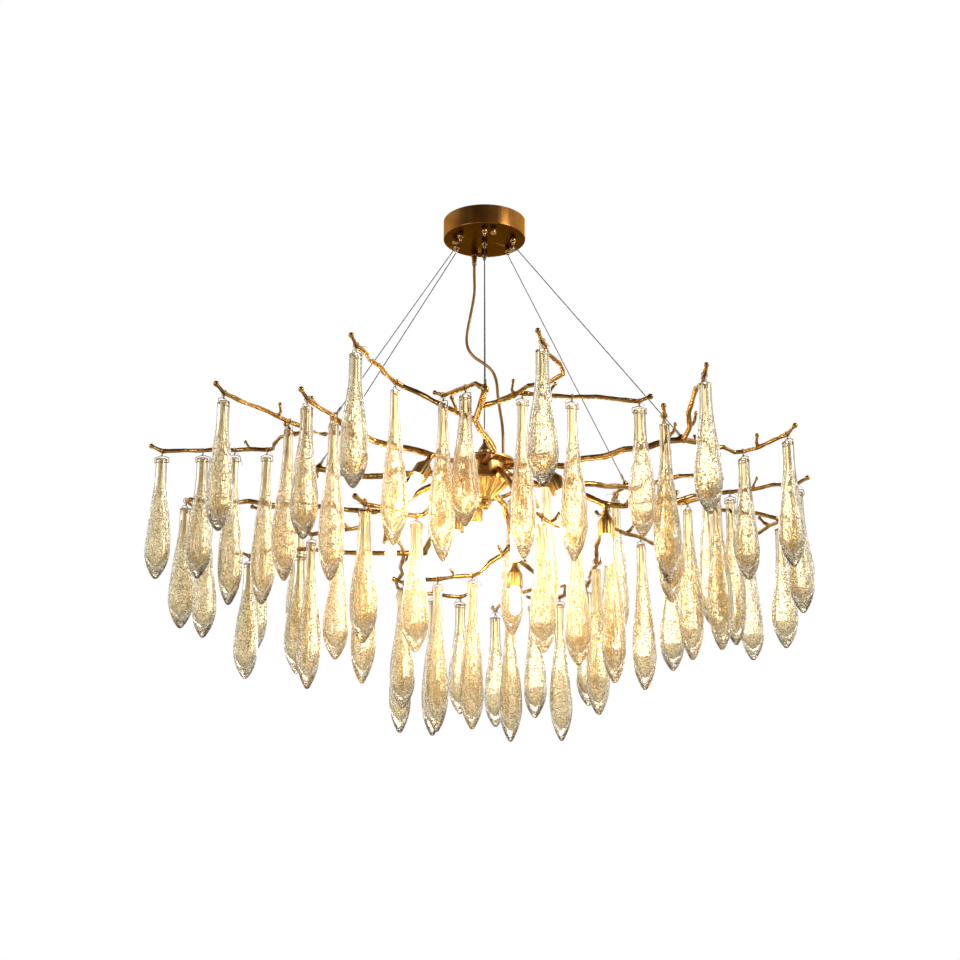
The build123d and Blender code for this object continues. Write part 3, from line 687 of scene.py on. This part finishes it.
def lathe(outer, inner):
    """Closed glass wall turned about the upright axis."""
    bm = bmesh.new()
    bubble_refraction_paint = []
    for r, z in outer + inner[::-1]:
        ring = []
        for j in range(SEGMENTS):
            angle = TURN * j / SEGMENTS
            ring.append(bm.verts.new((r * math.cos(angle), r * math.sin(angle), z)))
        bubble_refraction_paint.append(ring)
    tip = len(outer) - 1
    pairs = [(i, i + 1) for i in range(len(bubble_refraction_paint) - 1) if i != tip] + [(len(bubble_refraction_paint) - 1, 0)]
    for a, b in pairs:
        for j in range(SEGMENTS):
            k = (j + 1) % SEGMENTS
            bm.faces.new((bubble_refraction_paint[a][j], bubble_refraction_paint[b][j], bubble_refraction_paint[b][k], bubble_refraction_paint[a][k]))
    bm.faces.new(bubble_refraction_paint[tip][::-1])
    bm.faces.new(bubble_refraction_paint[tip + 1])
    bmesh.ops.recalc_face_normals(bm, faces=bm.faces)
    return mesh_from(bm, "drop_blank")


def drilled(mesh):
    """The drop with its hook hole through both walls of the neck, along X."""
    blank = added("drop_blank", mesh)
    bm = bmesh.new()
    bmesh.ops.create_cone(bm, cap_ends=True, segments=DRILL_SIDES, radius1=HOLE_RADIUS, radius2=HOLE_RADIUS,
                          depth=DRILL_LENGTH)
    bmesh.ops.rotate(bm, verts=bm.verts, matrix=Matrix.Rotation(math.pi / 2, 3, "Y"))
    drill = added("drill", mesh_from(bm, "drill"))
    cut = blank.modifiers.new("hook_hole", "BOOLEAN")
    cut.object = drill
    cut.operation = "DIFFERENCE"
    cut.solver = "EXACT"
    done = settled(blank)
    bpy.data.objects.remove(drill)
    return done


KINDS = {}
for kind, length, neck, belly in DROP_KINDS:
    outline = profile(length, neck, belly)
    blank_co, blank_faces = arrays(drilled(lathe(*outline)))
    skin = sorted((z, r) for r, z in outline[0])
    reach = np.interp(blank_co[:, 2], [z for z, _ in skin], [r for _, r in skin])
    outside = np.hypot(blank_co[:, 0], blank_co[:, 1]) > reach - SKIN
    KINDS[kind] = (length, belly, (blank_co, blank_faces), outside)

seed_bm = bmesh.new()
bmesh.ops.create_icosphere(seed_bm, subdivisions=1, radius=1.0)
bmesh.ops.reverse_faces(seed_bm, faces=seed_bm.faces)
SEED_CO, SEED_FACES = arrays(mesh_from(seed_bm, "seed"))


def rise(values, start, width):
    """0 up to the start and 1 from a width after it, straight between them."""
    return np.clip((values - start) / width, 0, 1)


def seed_radius(z, length, belly):
    """Distance from a drop's axis at which its seed bubbles sit at a height."""
    neck_z = HOOK_DEPTH - NECK_LENGTH
    belly_z = HOOK_DEPTH - BELLY_SHARE * length
    widest = belly * SEED_BELLY_RADIUS
    if z > belly_z:
        share = (neck_z - z) / (neck_z - belly_z)
        return SEED_NECK_RADIUS + (widest - SEED_NECK_RADIUS) * share * share * (3 - 2 * share)
    return widest * max(SEED_FOOT_RADIUS, 1 - ((belly_z - z) / (FOOT_SHARE * length)) ** SEED_FOOT_POWER)


def blown(kind, dice):
    """One drop of a kind with its own slight lean, swell and ripples, and seed bubbles in its wall.

    Each vertex has two weights: how far it lies below the neck, and the same for the outside only.
    """
    length, belly, (co, faces), outside = KINDS[kind]
    co = co.copy()
    depth = np.clip((HOOK_DEPTH - co[:, 2]) / length, 0, 1)
    away = rise(depth, *UNEVEN_FROM)
    angle = np.arctan2(co[:, 1], co[:, 0])
    ripple = np.zeros(len(co))
    for height, around, along in RIPPLES:
        ripple += height * np.sin(around * angle + dice.uniform(0, RIPPLE_PHASE) + along * depth)
    swell = 1 - SHRINK + away * (ripple - dice.uniform(0.0, SHRINK_MORE))
    swell = np.where(away > 0, swell * away + (1 - away), 1)
    co[:, 0] *= swell
    co[:, 1] *= swell
    side = dice.uniform(0, TURN)
    bend = BEND * np.sin(math.pi * depth) * away
    co[:, 0] += bend * math.cos(side)
    co[:, 1] += bend * math.sin(side)
    low = rise(depth, *SEEDED_FROM)
    parts = [(co, faces)]
    weights = [np.stack([low, low * outside])]
    for _ in range(SEED_COUNT):
        t = dice.uniform(0, 1) ** SEED_CROWDING
        z = HOOK_DEPTH - length * (SEED_TOP + SEED_RANGE * t)
        wall = seed_radius(z, length, belly)
        turn = dice.uniform(0, TURN)
        size = dice.uniform(*SEED_SIZE)
        centre = np.array([wall * math.cos(turn), wall * math.sin(turn), z])
        shape = np.array([size, size, size * dice.uniform(*SEED_STRETCH)])
        parts.append((SEED_CO * shape + centre, SEED_FACES))
        weights.append(np.stack([np.ones(len(SEED_CO)), np.zeros(len(SEED_CO))]))
    return parts, np.concatenate(weights, axis=1)


BULBS = islands("lamp_bulbs")


def lamp_light(co):
    """Share of the bulbs' light that the glass holds at each point."""
    total = np.zeros(len(co))
    for bulb in BULBS:
        total += np.exp(-((co - bulb.mean(0)) ** 2).sum(1) / GLOW_REACH ** 2)
    return np.clip(total / GLOW_FULL, 0, 1)


dice = random.Random(11)
hooks = []
for node in sorted(n for n in nodes if n.startswith("drops_")):
    axis = Vector(joints[node]["axis"])
    across = Vector((-axis.y, axis.x, 0))
    basis = np.array([axis, across, (0, 0, 1)])
    parts = []
    weights = []
    for solid in sorted(islands(node), key=lambda p: tuple(p.mean(0))):
        low = solid.min(0)
        high = solid.max(0)
        hook = Vector(((low[0] + high[0]) / 2, (low[1] + high[1]) / 2, high[2] - HOOK_DEPTH))
        kind = "long" if high[2] - low[2] > LONG_LENGTH else "short"
        hooks.append(hook)
        drop_parts, drop_weights = blown(kind, dice)
        parts += [(co @ basis + np.array(hook), faces) for co, faces in drop_parts]
        weights.append(drop_weights)
    glass = mesh_of(node + "_glass", parts)
    glass.set_sharp_from_angle(angle=math.radians(GLASS_SHARP_ANGLE))
    below_neck, seeded = np.concatenate(weights, axis=1)
    light = lamp_light(np.concatenate([co for co, _ in parts]))
    for title, values in (("belly", below_neck), ("seeds", seeded), ("lamp_light", light)):
        layer = glass.attributes.new(title, "FLOAT", "POINT")
        layer.data.foreach_set("value", values.astype(np.float32))
    link(node + "_glass", glass, GLASS, node, "drop_glass", node)


# Loose wire ends and the twist of each tie
def wire_ends(hook, dice):
    """Coiled twist above the neck and one or two stray ends."""
    twist = []
    for i in range(TWIST_POINTS):
        angle = i * TWIST_STEP
        height = TWIST_FOOT + TWIST_RISE * i / (TWIST_POINTS - 1)
        twist.append(hook + Vector((TWIST_RADIUS * math.cos(angle), TWIST_RADIUS * math.sin(angle), height)))
    found = [tube(twist, TAIL_RADIUS, TAIL_SIDES)]
    start = hook + Vector((0, 0, TAIL_START))
    for _ in range(dice.choice(TAIL_COUNTS)):
        heading = dice.uniform(0, TURN)
        out = Vector((math.cos(heading), math.sin(heading), 0))
        reach = dice.uniform(*TAIL_REACH)
        fall = dice.uniform(*TAIL_FALL)
        line = []
        for i in range(TAIL_POINTS):
            t = i / (TAIL_POINTS - 1)
            line.append(start + out * (reach * t) + Vector((0, 0, TAIL_ARCH * math.sin(math.pi * t) - fall * t * t)))
        found.append(tube(line, TAIL_RADIUS, TAIL_SIDES))
    return found


tail_parts = []
for hook in hooks:
    tail_parts += wire_ends(hook, dice)
link("tie_wire_ends", mesh_of("tie_wire_ends", tail_parts), WIRE, "fixture", "branch_brass")


# Light of the lit bulbs
for order, bulb in enumerate(BULBS):
    glow_data = bpy.data.lights.new(f"glow_{order}", "POINT")
    glow_data.energy = 0.16
    glow_data.color = (1.0, 0.72, 0.38)
    glow_data.shadow_soft_size = 0.012
    glow = added(f"glow_{order}", glow_data)
    lowest = bulb[bulb[:, 2].argmin()]
    glow.location = Vector(lowest) - Vector((0, 0, BULB_LIGHT_DROP))


# Studio: pale floor, soft lights and a pale surround that darkens overhead, underfoot and in front of the object
def area(name, place, size, energy, colour):
    """Soft square light that faces the object."""
    data = bpy.data.lights.new(name, "AREA")
    data.size = size
    data.energy = energy
    data.color = colour
    lamp = added(name, data)
    lamp.location = place
    lamp.rotation_euler = (Vector(LIGHT_TARGET) - Vector(place)).to_track_quat("-Z", "Y").to_euler()


area("key", (2.25, -1.3, 0.5), 0.9, 38, (1.0, 0.95, 0.88))
area("fill", (-2.0, -1.6, -0.2), 1.2, 14, (1.0, 0.96, 0.9))
area("rim", (0.3, 2.4, 0.4), 1.4, 20, (1.0, 0.97, 0.92))

floor_corners = [(x * FLOOR_REACH, y * FLOOR_REACH, FLOOR_HEIGHT) for x, y in ((-1, -1), (1, -1), (1, 1), (-1, 1))]
floor_mesh = bpy.data.meshes.new("floor")
floor_mesh.from_pydata(floor_corners, [], [(0, 1, 2, 3)])
floor_mesh.materials.append(plain("floor_paint", (0.80, 0.79, 0.77), (0.84, 0.83, 0.81), 2.0, (0.6, 0.7)))
floor = added("floor", floor_mesh)

world = bpy.data.worlds.new("studio")
bpy.context.scene.world = world
world.use_nodes = True
sky = world.node_tree
sky_coords = sky.nodes.new("ShaderNodeTexCoord")
sky_split = sky.nodes.new("ShaderNodeSeparateXYZ")
sky.links.new(sky_coords.outputs["Generated"], sky_split.inputs["Vector"])
sky_height = span(sky, sky_split.outputs["Z"], 0.0, 1.0, -1.0, 1.0)
sky_colour = ramp(sky, sky_height, [(0.2, (0.20, 0.16, 0.12)), (0.42, (0.75, 0.72, 0.68)), (0.5, WHITE),
                                    (0.78, WHITE), (0.93, (0.22, 0.18, 0.14))])
sky_depth = span(sky, sky_split.outputs["Y"], 0.0, 1.0, -1.0, 1.0)
sky_shade = ramp(sky, sky_depth, [(0.34, (0.13, 0.11, 0.09)), (0.62, WHITE)])
background = sky.nodes["Background"]
sky.links.new(tinted(sky, sky_colour, sky_shade), background.inputs["Color"])
background.inputs["Strength"].default_value = 1.0

bpy.context.scene.view_settings.view_transform = "Standard"
